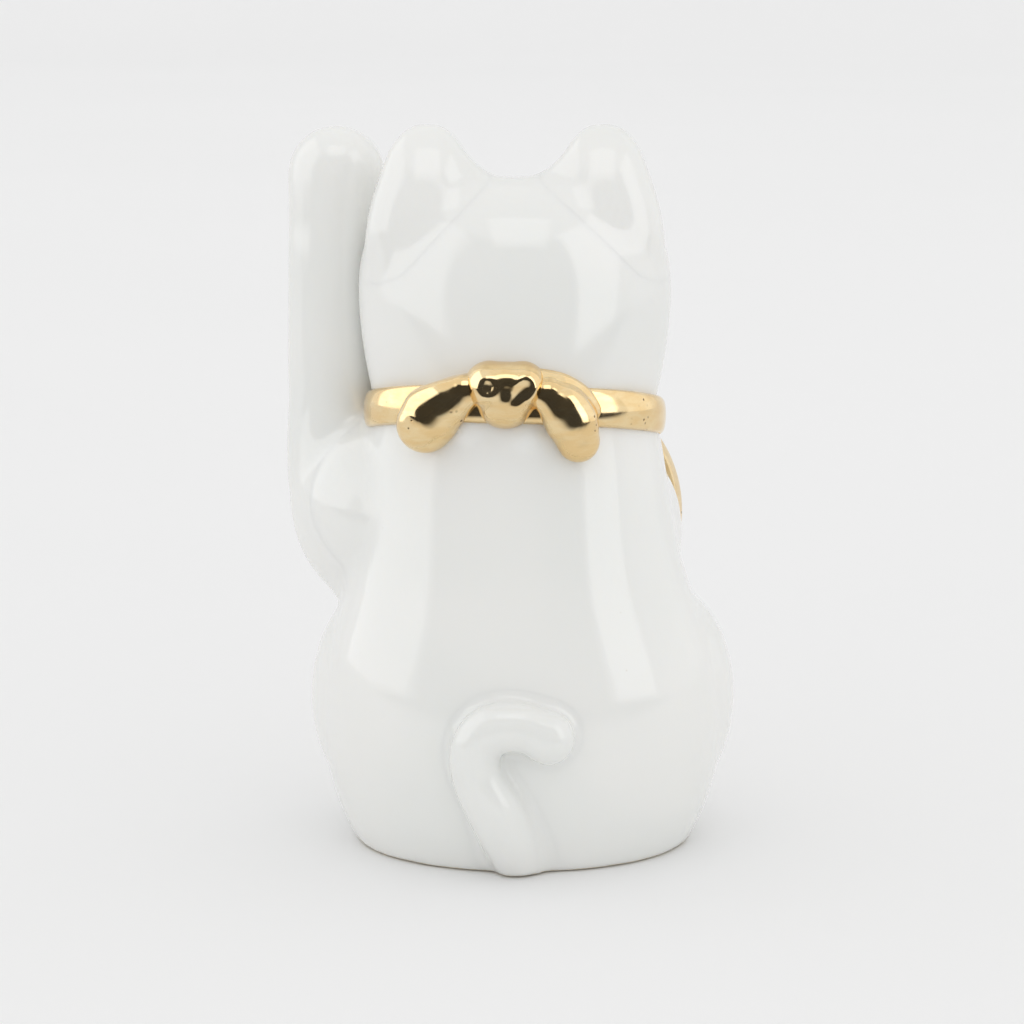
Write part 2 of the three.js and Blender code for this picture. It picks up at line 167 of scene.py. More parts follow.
def thrown(name, rings, sides=48, smooth=1, keel=0.0):
    """A closed round form through level rings, each (x, y, z, half width, half depth).

    `keel` draws in the two sides of the back, so that seen from above it is narrower there.
    """
    x, y, z, wide, deep = rings[0]
    bpy.ops.mesh.primitive_circle_add(vertices=sides, radius=MM, fill_type="NGON",
                                      location=metres((x, y, z)))
    settle(name)
    bpy.ops.object.mode_set(mode="EDIT")
    outline = bmesh.from_edit_mesh(bpy.context.object.data)
    for corner in outline.verts:
        back, across = corner.co.y / MM - y, corner.co.x / MM - x
        if back > 0:
            corner.co.y = MM * (y + back * (1 - keel * (across + keel_shift) ** 2))
    bpy.ops.mesh.select_all(action="SELECT")
    bpy.ops.transform.resize(value=(wide, deep, 1), center_override=metres((x, y, z)))
    for ring in rings[1:]:
        rise = metres((ring[0] - x, ring[1] - y, ring[2] - z))
        bpy.ops.mesh.extrude_region_move(TRANSFORM_OT_translate={"value": rise})
        x, y, z = ring[:3]
        growth = (ring[3] / wide, ring[4] / deep, 1)
        bpy.ops.transform.resize(value=growth, center_override=metres((x, y, z)))
        wide, deep = ring[3:]
    faces_out()
    bpy.ops.object.mode_set(mode="OBJECT")
    form = bpy.context.object
    return modify(form, "SUBSURF", levels=smooth, render_levels=smooth) if smooth else form


# %% A ball and a limb
def ball(name, middle, radii, turn=(0, 0, 0), segments=40):
    bpy.ops.mesh.primitive_uv_sphere_add(
        segments=segments, ring_count=segments // 2, radius=MM, location=metres(middle), rotation=turn,
        scale=radii)
    return settle(name)


def limb(name, stations, caps=True):
    """A limb of round section through stations, each (x, y, z, radius)."""
    bpy.ops.curve.primitive_bezier_curve_add(enter_editmode=True)
    bpy.ops.curve.select_all(action="SELECT")
    bpy.ops.curve.delete(type="VERT")
    for x, y, z, radius in stations:
        bpy.ops.curve.vertex_add(location=metres((x, y, z)))
        bpy.ops.curve.radius_set(radius=radius)
    bpy.ops.curve.select_all(action="SELECT")
    bpy.ops.curve.handle_type_set(type="AUTOMATIC")
    bpy.ops.object.mode_set(mode="OBJECT")
    route = bpy.context.object
    route.data.bevel_depth = MM
    route.data.bevel_resolution = 7
    route.data.resolution_u = 10
    route.data.use_fill_caps = True
    bpy.ops.object.convert(target="MESH")
    tube = settle(name)
    if not caps:
        return tube
    ends = [ball(name, end[:3], (end[3],) * 3, segments=24) for end in (stations[0], stations[-1])]
    return joined(name, *ends, tube)


# %% [markdown]
# ## The torso
#
# The torso casting is a pear: a round base, wide hips a hand's breadth up, and a narrower chest that
# runs into the collar. The haunches are two big balls against the hips. The rows are the girth at each
# height, and the lowest row is under the floor, because the base is cut off flat later.

# %% Torso and haunches
body_low, body_high, _ = box("body_shell")
set_back = box("collar_band")[2].y  # the neck's middle, front to back
lean_x = -1.3  # the hips sit this far to the cat's right of its head

torso_rows = [
    # height, half width, half depth, shift towards the base (1 is all of it), shift backwards
    (-5, 24.6, 20.8, 1.0, 0.0),
    (0, 27.2, 23.6, 1.0, 0.1),
    (5, 29.8, 25.8, 1.0, 0.5),
    (11, 31.6, 27.2, 1.0, 1.0),
    (18, 32.8, 28.1, 1.0, 1.6),
    (25, 32.8, 28.2, 0.9, 1.9),
    (32, 31.4, 27.5, 0.8, 1.8),
    (39, 28.8, 26.2, 0.6, 1.4),
    (47, 26.3, 24.6, 0.3, 0.9),
    (55, 25.2, 23.0, 0.1, 0.4),
    (63, 24.3, 21.4, 0.0, 0.1),
    (71, 22.8, 19.8, 0.0, 0.0),
    (79, 20.0, 17.0, 0.0, 0.0),
]
torso_rings = [
    (middle_x + lean_x * shift, set_back + back, height, wide, deep)
    for height, wide, deep, shift, back in torso_rows
]


def girth_at(z):
    """The torso's (x, y, half width, half depth) at a height, between two rings."""
    for low, high in zip(torso_rings, torso_rings[1:]):
        if low[2] <= z <= high[2]:
            share = (z - low[2]) / (high[2] - low[2])
            return [low[i] + share * (high[i] - low[i]) for i in (0, 1, 3, 4)]
    raise ValueError("no torso at %s" % z)


def on_torso(x, z, side=1):
    """How far back (side 1) or forward (side -1) the torso's skin lies at this place."""
    middle, y, wide, deep = girth_at(z)
    return y + side * deep * math.sqrt(max(0.0, 1 - ((x - middle) / wide) ** 2))


torso = thrown("torso", torso_rings)
haunches = []
for side, edge in ((1, body_high.x), (-1, body_low.x)):
    wide, deep, tall = 13.6, 20.0, 19.2
    haunches.append(ball("haunch", (edge - side * wide, set_back - 4, 23), (wide, deep, tall)))
print("torso", [round(value, 1) for value in torso.dimensions / MM], "mm")

# %% [markdown]
# ## The legs
#
# The raised leg is a straight sausage of clay luted on at the shoulder, with its paw folded forward.
# The other leg comes down from the right shoulder, turns in under the coin and holds it with the paw.
# Toes are small balls, and fettling the joints later softens them into the paw.

# %% Forelegs
_, leg_high, _ = box("raised_foreleg")
leg_x = leg_high.x - 7.4  # middle of the upright part
paw_top = leg_high.z - 1.2
raised = limb("raised_foreleg", [
    (17.0, -5.0, 40, 8.2),
    (26.0, -7.5, 49.5, 9.4),
    (leg_x - 0.4, -10.4, 58.5, 8.4),
    (leg_x + 0.1, -11.4, 72, 7.6),
    (leg_x + 0.2, -11.8, 88, 7.3),
    (leg_x, -12.2, 99, 7.3),
    (leg_x - 0.6, -12.8, paw_top - 8, 8.0),
])
shoulder = ball("shoulder", (16.5, -5.5, 54), (18.0, 15.5, 16.0))
folded_paw = ball("paw", (leg_x - 0.6, -16.2, paw_top - 10.5), (7.6, 6.8, 7.2))


def toes(middle, spread, radius, drop=0.0):
    """Four toes side by side along X, the middle two a little forward."""
    x, y, z = middle
    places = [(-1.5, 0.9), (-0.5, 0.0), (0.5, 0.0), (1.5, 0.9)]
    return [
        ball("toe", (x + place * spread, y + back, z - drop * back), (radius,) * 3, segments=20)
        for place, back in places
    ]


raised_toes = toes((leg_x - 0.6, -21.2, paw_top - 14.2), 3.5, 2.5, drop=-0.6)

_, _, coin_middle = box("coin")
lowered = limb("lowered_foreleg", [
    (-14.5, -4.5, 62, 6.4),
    (-19.7, -6.5, 54, 7.8),
    (-20.1, -10.5, 43.5, 7.6),
    (-18.7, -18.2, 36.6, 6.7),
    (-14.8, -25.0, 41.0, 6.7),
    (-13.2, -26.2, 46.0, 6.5),
])
lowered_toes = [
    ball("toe", (-13.0 + place * 3.4, -27.6 + 0.5 * abs(place), 51.2 - 0.5 * place ** 2), (2.5,) * 3,
         segments=20)
    for place in (-1.4, -0.45, 0.45, 1.4)
]

# %% Hind paws
hind_paws, hind_toes = {}, []
for side, node in ((1, "left_hind_paw"), (-1, "right_hind_paw")):
    low, high, middle = box(node)
    hind_paws[node] = limb(node, [
        (middle.x, -14, 6.4, 6.6),
        (middle.x, -22, 5.6, 6.2),
        (middle.x, low.y + 7.2, 4.9, 5.4),
    ])
    hind_toes += toes((middle.x, low.y + 2.9, 3.6), 3.1, 2.7)

# %% [markdown]
# ## The tail
#
# A rolled sausage laid up the back in a hook, with a knob at its tip. It starts at the floor a little
# behind the foot ring. Each station gives the place seen from behind, and the torso's own skin says
# how far back it lies.

# %% Tail
_, tail_high, _ = box("tail")
tail_top = tail_high.z - 3.8
tail_rows = [
    # to the cat's left, height, radius
    (-2.4, -1.0, 4.6),
    (-0.6, 4.0, 4.6),
    (2.5, 11.5, 4.5),
    (5.5, 17.8, 4.0),
    (5.7, tail_top - 4.0, 4.0),
    (3.9, tail_top - 1.0, 4.0),
    (0.3, tail_top - 0.1, 4.0),
    (-3.1, tail_top - 0.6, 3.8),
    (-5.6, tail_top - 1.9, 4.3),
]
tail = limb("tail", [
    (x, on_torso(x, max(z, 0)) + radius * (0.4 - 1.4 * max(0, 1 - z / 9)), z, radius)
    for x, z, radius in tail_rows
])

# %% [markdown]
# ## The head
#
# Seen from behind, the head is a rounded square, nearly as wide at the ears as at the cheeks, and it
# runs straight down into the collar. Seen from above it is an oval that narrows behind, so it is thrown
# from rings with a keel. The ears are blunt cones, thicker towards their roots, flush with its sides
# and hollowed in front with a ball-ended tool, and a roll of clay eases each into the crown. Two soft
# balls make the muzzle, a smaller one the chin, and another the bridge of the nose.

# %% Head and ears
head_half_width = (head_high.x - head_low.x) / 2
head_half_depth = 21.2
head_y = head_high.y - head_half_depth
head_keel = 0.3
head_z = 87.3  # the eyes and the head's fullest line are about here
crown_z = head_high.z - 1.3

head_rows = [
    # depth under the crown, share of the half width, share of the half depth
    (45.0, 0.82, 0.93), (40.0, 0.86, 0.97), (35.5, 0.905, 0.985), (30.0, 0.95, 0.98), (25.0, 0.98, 0.96),
    (20.0, 1.0, 0.935), (15.5, 0.998, 0.895), (11.0, 0.97, 0.825), (7.0, 0.89, 0.72), (4.0, 0.775, 0.60),
    (1.8, 0.61, 0.46), (0.5, 0.40, 0.30), (0.0, 0.18, 0.14),
]
head = thrown("head", [
    (middle_x, head_y, crown_z - down, head_half_width * wide, head_half_depth * deep)
    for down, wide, deep in head_rows
], keel=head_keel)

ear_rows = [
    # depth below the tip, half width, half thickness
    (0.25, 1.9, 1.3), (0.9, 3.3, 2.3), (2.6, 5.1, 3.5), (5.0, 6.5, 4.6), (8.4, 8.0, 5.8), (12.0, 9.3, 6.6),
    (16.0, 10.1, 6.8), (20.0, 10.4, 6.6), (25.0, 10.3, 6.0),
]
ears, gussets = {}, []
for side, node in ((1, "left_ear"), (-1, "right_ear")):
    low, high, _ = box(node)
    tip = high.z - 1.3
    front = low.y + 0.3
    x = middle_x + side * 14.0
    rings = [(x, front + thick + 1.6 / (1 + depth), tip - depth, wide, thick)
             for depth, wide, thick in ear_rows]
    ears[node] = thrown(node, rings[::-1], sides=32)
    hollow = ball("hollow", (x - side * 0.3, front - 2.6, tip - 7.0), (4.2, 4.4, 5.2), turn=(-0.15, 0, 0))
    modify(ears[node], "BOOLEAN", operation="DIFFERENCE", solver="EXACT", object=hollow)
    discard(hollow)
    gussets.append(limb("gusset", [
        (middle_x + side * 9.6, front + 5.0, crown_z + 1.0, 3.4),
        (middle_x + side * 6.2, front + 4.6, crown_z - 2.6, 4.2),
        (middle_x + side * 2.4, front + 4.0, crown_z - 5.0, 4.8),
    ]))

face_y = head_y - head_half_depth
muzzle = [ball("cheek", (middle_x + side * 4.5, face_y + 3.4, head_z - 9.2), (6.2, 5.6, 5.0))
          for side in (1, -1)]
muzzle.append(ball("chin", (middle_x, face_y + 3.4, head_z - 13.4), (4.6, 4.2, 3.4)))
muzzle.append(ball("bridge", (middle_x, face_y + 2.6, head_z - 4.6), (3.4, 3.4, 4.4)))
print("head", [round(value, 1) for value in head.dimensions / MM], "mm")

# %% [markdown]
# ## Luting and fettling
#
# Wet slip fills the corner where two castings meet, and a damp brush rounds it. A voxel remesh does
# the first by melting overlapping lumps into one skin, and a few passes of smoothing do the second. The
# raised leg only leans on the head, so the two are fused apart, and a crease stays between them.

# %% Looser copies for cutting later
def envelope(name, grow, *lumps):
    """A looser copy of some lumps, which later cuts their piece out of the skin."""
    copies = [copy_of(lump, name) for lump in lumps]
    for copy in copies:
        modify(copy, "DISPLACE", strength=grow * MM, mid_level=0)
    return modify(joined(name, *copies), "REMESH", mode="VOXEL", voxel_size=0.6 * MM)


loose = 2.0
cutters = {
    "raised_foreleg": envelope("raised_cutter", loose, raised, folded_paw, *raised_toes),
    "lowered_foreleg": envelope("lowered_cutter", loose, lowered, *lowered_toes),
    "tail": envelope("tail_cutter", loose, tail),
}
for index, (node, paw) in enumerate(hind_paws.items()):
    cutters[node] = envelope(node + "_cutter", loose, paw, *hind_toes[4 * index:4 * index + 4])
ear_cutters = {node: envelope(node + "_cutter", loose, piece) for node, piece in ears.items()}


# %% Fuse and fettle
def above_floor(piece):
    """Cuts a lump off level with the floor."""
    modify(piece, "REMESH", mode="VOXEL", voxel_size=0.5 * MM)
    bpy.ops.object.mode_set(mode="EDIT")
    bpy.ops.mesh.select_all(action="SELECT")
    bpy.ops.mesh.bisect(plane_co=(0, 0, 0), plane_no=(0, 0, 1), use_fill=True, clear_inner=True)
    bpy.ops.object.mode_set(mode="OBJECT")
    return piece


def fused(name, voxel, passes, *lumps):
    """One skin over all the lumps, its corners rounded by `passes` of smoothing."""
    skin = joined(name, *lumps)
    modify(skin, "REMESH", mode="VOXEL", voxel_size=voxel * MM, use_smooth_shade=True)
    modify(skin, "SMOOTH", factor=0.5, iterations=passes)
    print(name, len(skin.data.polygons), "faces")
    return skin


nape_bumps = [
    ball("bump", (x, on_torso(x, z) - 2.4, z), (3.9, 3.2, 3.4)) for x, z in ((6.3, 69.6), (-2.3, 68.4))
]
on_floor = [above_floor(piece) for piece in (torso, tail, *haunches, *hind_paws.values(), *hind_toes)]
body_skin = fused("body_skin", 0.55, 26, raised, folded_paw, lowered, shoulder, *raised_toes, *lowered_toes,
                  *nape_bumps, *on_floor)
head_skin = fused("head_skin", 0.5, 24, *gussets, head, *muzzle, *ears.values())


def fettle(skin, passes, inside):
    """More smoothing where `inside(x, y, z)` is over 0, and as much of it as that says, up to 1."""
    group = skin.vertex_groups.new(name="fettled")
    for vertex in skin.data.vertices:
        weight = min(1.0, inside(*(vertex.co / MM)))
        if weight > 0:
            group.add([vertex.index], weight, "REPLACE")
    return modify(skin, "SMOOTH", factor=0.5, iterations=passes, vertex_group=group.name)


def shoulders(x, y, z):
    """The back and the shoulders, but not the tail, the paws or the tops of the legs."""
    nape = max(abs(x - 2) - 8, 64 - z) / 4
    return min((z - 33) / 6, (76 - z) / 6, (y + 17) / 6, nape)


def round_the_ears(x, y, z):
    """The crown and the roots of the ears behind, but not their tips or their hollow fronts."""
    return min((z - 82) / 8, (crown_z + 4 - z) / 5, (y + 3) / 4)


fettle(body_skin, 110, shoulders)
fettle(head_skin, 160, round_the_ears)

# %% [markdown]
# ## Back into castings
#
# The frame names every piece of the assembly, so the two skins are cut where the potter's castings
# meet. The walls are hollow like the real ones: a slip casting is about 3 mm thick, and it has a hole
# in its base where the slip was poured out. Each piece then takes the whole skin's normals, so that
# the glaze shines across a joint as if it weren't there.

# %% Hollow the castings
wall = 3.2
collar_low, collar_high, _ = box("collar_band")
neck_point = (middle_x, set_back, 70)
collar_tilt = math.radians(12)


def carve(piece, tool, operation="DIFFERENCE"):
    return modify(piece, "BOOLEAN", operation=operation, solver="MANIFOLD", object=tool)


def half_space(name, point, tilt, side):
    """All that lies over (side 1) or under (side -1) a plane through the point, tilted about X."""
    half = 80
    x, y, z = point
    middle = (x, y - side * half * math.sin(tilt), z + side * half * math.cos(tilt))
    bpy.ops.mesh.primitive_cube_add(size=2 * half * MM, location=metres(middle), rotation=(tilt, 0, 0))
    return settle(name)


inner_rings = [(x, y, z, wide - wall, deep - wall) for x, y, z, wide, deep in torso_rings if 4 < z]
inner_rings.insert(0, (*inner_rings[0][:2], 4, *inner_rings[0][3:]))
body_hollow = thrown("body_hollow", inner_rings)
shrink = 1 - wall / head_half_width
head_hollow = thrown("head_hollow", [
    (middle_x, head_y, crown_z - down - wall,
     head_half_width * wide * shrink, head_half_depth * deep * shrink)
    for down, wide, deep in head_rows if down < 42
], keel=head_keel)
pour_hole = thrown("pour_hole", [(middle_x + lean_x, set_back, z, 9, 9) for z in (-2, 8)], smooth=0)
foot_hollow = thrown("foot_hollow", [
    (middle_x + lean_x, set_back, z, wide, wide * 0.86)
    for z, wide in ((-2, 23), (0.4, 22.8), (1.2, 22.2), (1.6, 21))
])

body_shell = copy_of(body_skin, "porcelain_body")
head_shell = copy_of(head_skin, "porcelain_head")
for tool in (body_hollow, pour_hole, foot_hollow):
    carve(body_shell, tool)
for tool in (head_hollow, body_hollow):
    carve(head_shell, tool)
discard(body_hollow, head_hollow, pour_hole, foot_hollow)


# %% Cut the pieces apart
def parted(host, cutter, name):
    """What lies inside the cutter leaves its host and becomes a piece of its own."""
    piece = copy_of(host, name)
    carve(piece, cutter, "INTERSECT")
    carve(host, cutter)
    discard(cutter)
    return piece


pieces = {node: parted(body_shell, cutter, "porcelain_" + node) for node, cutter in cutters.items()}
for node, cutter in ear_cutters.items():
    pieces[node] = parted(head_shell, cutter, "porcelain_" + node)
carve(pieces["raised_foreleg"], head_skin)
neck_top = half_space("neck_top", neck_point, collar_tilt, 1)
neck_bottom = half_space("neck_bottom", neck_point, collar_tilt, -1)
carve(body_shell, neck_top)
carve(head_shell, neck_bottom)
discard(neck_top, neck_bottom)
pieces["body_shell"] = body_shell
pieces["head_shell"] = head_shell


def keep_shine(piece, skin):
    """Gives the outside of the piece the whole skin's normals."""
    pick(piece)
    bpy.ops.object.shade_smooth_by_angle(angle=math.radians(35))
    modify(piece, "DATA_TRANSFER", object=skin, use_loop_data=True, data_types_loops={"CUSTOM_NORMAL"},
           loop_mapping="POLYINTERP_NEAREST", use_max_distance=True, max_distance=0.02 * MM)


head_nodes = ("head_shell", "left_ear", "right_ear")
for node, piece in pieces.items():
    keep_shine(piece, head_skin if node in head_nodes else body_skin)
    print(piece.name, len(piece.data.polygons), "faces")

# %% [markdown]
# ## The face
#
# The eyes, nose and mouth are painted on thickly, so they stand a hair proud and follow the head. A
# stamp is a copy of the head, let out by a third of a millimetre and cut to the outline of the mark.
# The expression is a calm one: almond eyes, a small nose, a soft mouth and three whiskers a side.

# %% Eyes and nose
stand = 0.35  # how far the enamel stands proud
let_out = modify(copy_of(head_skin, "let_out"), "DISPLACE", strength=stand * MM, mid_level=0)


def stamp(name, x, z, half_width, half_height, point=1.0, turn=0.0):
    """A mark on the face. `point` under 1 draws its ends in, as an almond's are."""
    y = face_y + 2
    bpy.ops.mesh.primitive_cylinder_add(vertices=64, radius=MM, depth=14 * MM, location=metres((x, y, z)),
                                        rotation=(math.pi / 2, turn, 0), scale=(half_width, half_height, 1))
    mark = settle(name)
    if point < 1:
        lens = copy_of(mark, "lens")
        lift = half_height * (1 - point)
        for piece, way in ((mark, -1), (lens, 1)):
            pick(piece)
            bpy.ops.transform.resize(value=(1, 1, 2 - point), center_override=metres((x, y, z)))
            bpy.ops.transform.translate(value=metres((0, 0, way * lift)))
            settle(piece.name)
        carve(mark, lens, "INTERSECT")
        discard(lens)
    carve(mark, let_out, "INTERSECT")
    carve(mark, head_skin)
    pick(mark)
    bpy.ops.mesh.separate(type="LOOSE")
    front = min(bpy.context.selected_objects, key=lambda each: min((v.co.y for v in each.data.vertices)))
    spare = [each for each in bpy.context.selected_objects if each != front]
    if spare:
        discard(*spare)
    pick(front)
    front.name = name
    bpy.ops.object.shade_smooth_by_angle(angle=math.radians(50))
    return front


enamel = {}
eye_places = {}
for side, node in ((1, "left_eye"), (-1, "right_eye")):
    _, _, middle = box(node)
    eye_places[node] = middle
    enamel[node] = stamp(node + "_enamel", middle.x, middle.z, 3.5, 2.9, point=0.75,
                         turn=side * math.radians(-7))
nose_middle = box("nose")[2]
enamel["nose"] = stamp("nose_gold", nose_middle.x, nose_middle.z, 1.9, 1.35)


# %% Mouth and whiskers
def on_head(x, z):
    """The point of the head's front at this place."""
    hit, place, _, _ = head_skin.ray_cast(metres((x, -80, z)), (0, 1, 0))
    return tuple(place / MM) if hit else (x, face_y, z)


def stroke(name, points, radius):
    """A brush stroke on the face through (x, z) points, thin at both ends."""
    count = len(points) - 1
    stations = []
    for index, (x, z) in enumerate(points):
        share = math.sin(math.pi * (0.12 + 0.76 * index / count))
        stations.append((*on_head(x, z), radius * share))
    line = limb(name, stations)
    pick(line)
    bpy.ops.object.shade_smooth()
    return line


strokes = []
lip_z = nose_middle.z - 1.2
strokes.append(stroke("philtrum", [(middle_x, lip_z - share * 1.0) for share in (0, 1, 2, 3)], 0.26))
for side in (1, -1):
    curve = [(middle_x + side * 4.3 * share, lip_z - 3.0 - 1.5 * math.sin(math.pi * (0.1 + 0.8 * share)))
             for share in (0, 0.25, 0.5, 0.75, 1)]
    strokes.append(stroke("lip", curve, 0.26))
    for rise in (-1, 0, 1):
        start, reach = 11.5, 8.0
        row = [(middle_x + side * (start + reach * share),
                head_z - 9 + rise * (2.4 + 1.4 * share) - 0.8 * share * share)
               for share in (0, 0.33, 0.66, 1)]
        strokes.append(stroke("whisker", row, 0.24))
mouth = joined("mouth_and_whiskers", *strokes)
discard(let_out)
print("face:", list(enamel), mouth.name)

# %% [markdown]
# ## The collar
#
# The gilded collar is a low, slightly domed band moulded round the neck, and it slopes down towards
# the chest. It is thrown from rings like the torso, bored out, and tilted.

# %% Collar
collar_half_width = (collar_high.x - collar_low.x) / 2
collar_half_depth = 21.4
collar_rows = [
    # height over the middle, how far inside the fullest line
    (-3.15, 1.5), (-2.95, 0.7), (-2.4, 0.2), (-1.2, 0.0), (0, -0.1), (1.2, 0.0), (2.4, 0.2), (2.95, 0.7),
    (3.15, 1.5),
]
x, y, z = neck_point
collar = thrown("collar_band_gold", [
    (x, y, z + rise, collar_half_width - inside, collar_half_depth - inside) for rise, inside in collar_rows
], sides=96)
bore = thrown("bore", [
    (x, y, z + rise, collar_half_width - 2.8, collar_half_depth - 2.8) for rise in (-6, 6)
], sides=96, smooth=0)
carve(collar, bore)
discard(bore)
pick(collar)
bpy.ops.transform.rotate(value=-collar_tilt, orient_axis="X", center_override=metres(neck_point))
bpy.ops.transform.rotate(value=math.radians(1.3), orient_axis="Y", center_override=metres(neck_point))
settle("collar_band_gold")
bpy.ops.object.shade_smooth_by_angle(angle=math.radians(50))
print("collar heights", [round(corner[2] / MM, 1) for corner in (collar.bound_box[0], collar.bound_box[6])])

# %% [markdown]
# ## The bow
#
# The bow is one lump of clay for the knot and a teardrop for each loop, pressed on with a thumb, so it
# is soft and uneven: two dents with a ridge between them on the knot. Lumps are fused at a finer grain
# than the body, and dents are carved before the smoothing, which rounds their edges.

# %% Bow
def collar_back(x):
    """How far back the collar's outer face is at this x."""
    across = min(0.95, abs(x - middle_x) / collar_half_width)
    return neck_point[1] + collar_half_depth * math.sqrt(1 - across ** 2)


def flattened(piece, middle_y, share):
    """Presses a lump flat against the neck."""
    pick(piece)
    bpy.ops.transform.resize(value=(1, share, 1), center_override=metres((0, middle_y, 0)))
    return settle(piece.name)


knot_y = 20.6
knot_lumps = [
    ball("knot", (3.4, knot_y - 2.0, 77.1), (4.1, 5.9, 3.9)),
    ball("knot", (-1.6, knot_y - 2.0, 77.2), (3.8, 5.9, 3.8)),
    ball("knot", (1.0, knot_y - 2.6, 74.4), (4.6, 5.2, 4.2)),
    ball("knot", (0.8, knot_y - 2.2, 75.6), (5.6, 5.5, 3.8)),
    ball("knot", (1.0, knot_y - 1.6, 78.1), (5.6, 4.9, 2.8)),
]
knot = joined("knot_lump", *knot_lumps)
modify(knot, "REMESH", mode="VOXEL", voxel_size=0.28 * MM)
for middle, radii, turn in (
    ((3.9, knot_y + 4.8, 77.6), (1.7, 2.0, 1.8), 0.0),
    ((-1.5, knot_y + 4.6, 76.4), (1.8, 2.2, 3.9), -0.6),
    ((3.4, knot_y + 4.7, 73.4), (1.0, 1.4, 1.0), 0.0),
):
    dent = ball("dent", middle, radii, turn=(0, turn, 0), segments=24)
    carve(knot, dent)
    discard(dent)
knot = fused("bow_knot_gold", 0.28, 20, knot)

loop_rows = {
    "left_bow_loop": [(7.3, 76.3, 2.8), (10.0, 74.4, 4.0), (12.4, 72.4, 5.0), (13.5, 70.9, 4.7)],
    "right_bow_loop": [(-5.4, 75.8, 2.8), (-7.6, 73.9, 4.0), (-9.3, 71.4, 4.3), (-10.3, 68.5, 3.5)],
}
gather_rows = {
    "left_bow_loop": [(5.5, 77.9, 1.5), (9.0, 76.7, 1.9), (12.3, 74.9, 2.1), (14.6, 73.0, 1.8)],
    "right_bow_loop": [(-3.5, 78.6, 1.5), (-7.5, 77.3, 1.9), (-10.6, 75.1, 2.1), (-12.2, 72.9, 1.9)],
}


def laid_on_collar(name, rows, proud, press):
    """A limb against the back of the collar, `proud` of it and pressed flatter."""
    depths = [collar_back(x) + proud for x, _, _ in rows]
    roll = limb(name, [(x, depth, z, radius) for (x, z, radius), depth in zip(rows, depths)])
    return flattened(roll, sum(depths) / len(depths), press)


gold = {"collar_band": collar, "bow_knot": knot}
for node in loop_rows:
    loop = laid_on_collar(node, loop_rows[node], 0.6, 0.95)
    gather = laid_on_collar("gather", gather_rows[node], -1.1, 0.95)
    gold[node] = fused(node + "_gold", 0.28, 50, loop, gather)

# %% [markdown]
# ## The bell and the coin
#
# The bell is a ball with a rib round it and a slot under it, on a small ring. The coin is an upright
# oval plate with a raised rim and rows of chisel marks, and the paw steadies it from in front.

# %% Bell and its ring
bell_low, bell_high, _ = box("bell")
bell_radius = 5.6
bell_middle = ((bell_low.x + bell_high.x) / 2, bell_low.y + 6.15, bell_high.z - bell_radius)
x, y, z = bell_middle
bell_rows = [(math.sin(a) * bell_radius, math.cos(a) * bell_radius) for a in
             [math.radians(-88 + 11 * k) for k in range(17)]]
bell_rows = [(rise, girth) for rise, girth in bell_rows if abs(rise) > 0.9]
rib = [(-0.75, 5.55), (-0.6, 5.95), (-0.3, 6.1), (0.3, 6.1), (0.6, 5.95), (0.75, 5.55)]
bell_rows = sorted(bell_rows + rib)
bell = thrown("bell_gold", [(x, y, z + rise, girth, girth) for rise, girth in bell_rows], sides=64)
bpy.ops.mesh.primitive_cube_add(size=MM, location=metres((x, y - 1.6, z - 5.4)), scale=(1.0, 8.2, 5.2))
slot = settle("slot")
holes = [ball("hole", (x, y - 1.6 + way * 4.1, z - 4.4 + 0.6 * (way < 0)), (1.2, 1.2, 1.8), segments=24)
         for way in (1, -1)]
for tool in (slot, *holes):
    carve(bell, tool)
discard(slot, *holes)
modify(bell, "BEVEL", width=0.12 * MM, segments=2, limit_method="ANGLE", angle_limit=math.radians(55))
pick(bell)
bpy.ops.object.shade_smooth_by_angle(angle=math.radians(40))
gold["bell"] = bell

lug_middle = box("bell_lug")[2]
lug_z = z + bell_radius + 1.4
bpy.ops.mesh.primitive_torus_add(major_radius=2.1 * MM, minor_radius=0.8 * MM, major_segments=48,
                                 minor_segments=20, location=metres((x, lug_middle.y, lug_z)),
                                 rotation=(0, math.pi / 2, 0))
lug_ring = settle("lug_ring")
pinches = [ball("pinch", (x, lug_middle.y, lug_z + way * 2.0), (1.1, 1.2, 0.9), segments=24)
           for way in (1, -1)]
gold["bell_lug"] = fused("bell_lug_gold", 0.16, 6, lug_ring, *pinches)

# %% Coin
coin_half_width, coin_half_length, coin_thick, coin_rim = 10.5, 15.0, 3.0, 1.4
coin_turn = (math.pi / 2, math.radians(11), math.radians(-20))
bpy.ops.mesh.primitive_cylinder_add(vertices=96, radius=MM, depth=coin_thick * MM,
                                    scale=(coin_half_width, coin_half_length, 1))
coin = settle("coin_gold")
bpy.ops.object.mode_set(mode="EDIT")
bpy.ops.mesh.select_all(action="DESELECT")
bpy.ops.mesh.select_mode(type="FACE")
bpy.ops.object.mode_set(mode="OBJECT")
for face in coin.data.polygons:
    face.select = face.normal.z > 0.9
bpy.ops.object.mode_set(mode="EDIT")
bpy.ops.mesh.inset(thickness=coin_rim * MM, use_even_offset=True)
bpy.ops.transform.translate(value=metres((0, 0, -0.5)))
bpy.ops.object.mode_set(mode="OBJECT")
marks = []
row_gap, mark_gap = 2.9, 1.9
marked_half_width, marked_half_length = 7.4, 13.2
for row in range(-4, 5):
    across = marked_half_width * math.sqrt(max(0, 1 - (row * row_gap / marked_half_length) ** 2))
    count = max(1, round(across / mark_gap))
    for place in range(-count + 1, count, 2):
        mark_place = metres((place * mark_gap, row * row_gap, coin_thick / 2 - 0.5))
        bpy.ops.mesh.primitive_cube_add(size=MM, scale=(2.4, 0.55, 0.5), location=mark_place)
        marks.append(settle("mark"))
chisel = joined("chisel", *marks)
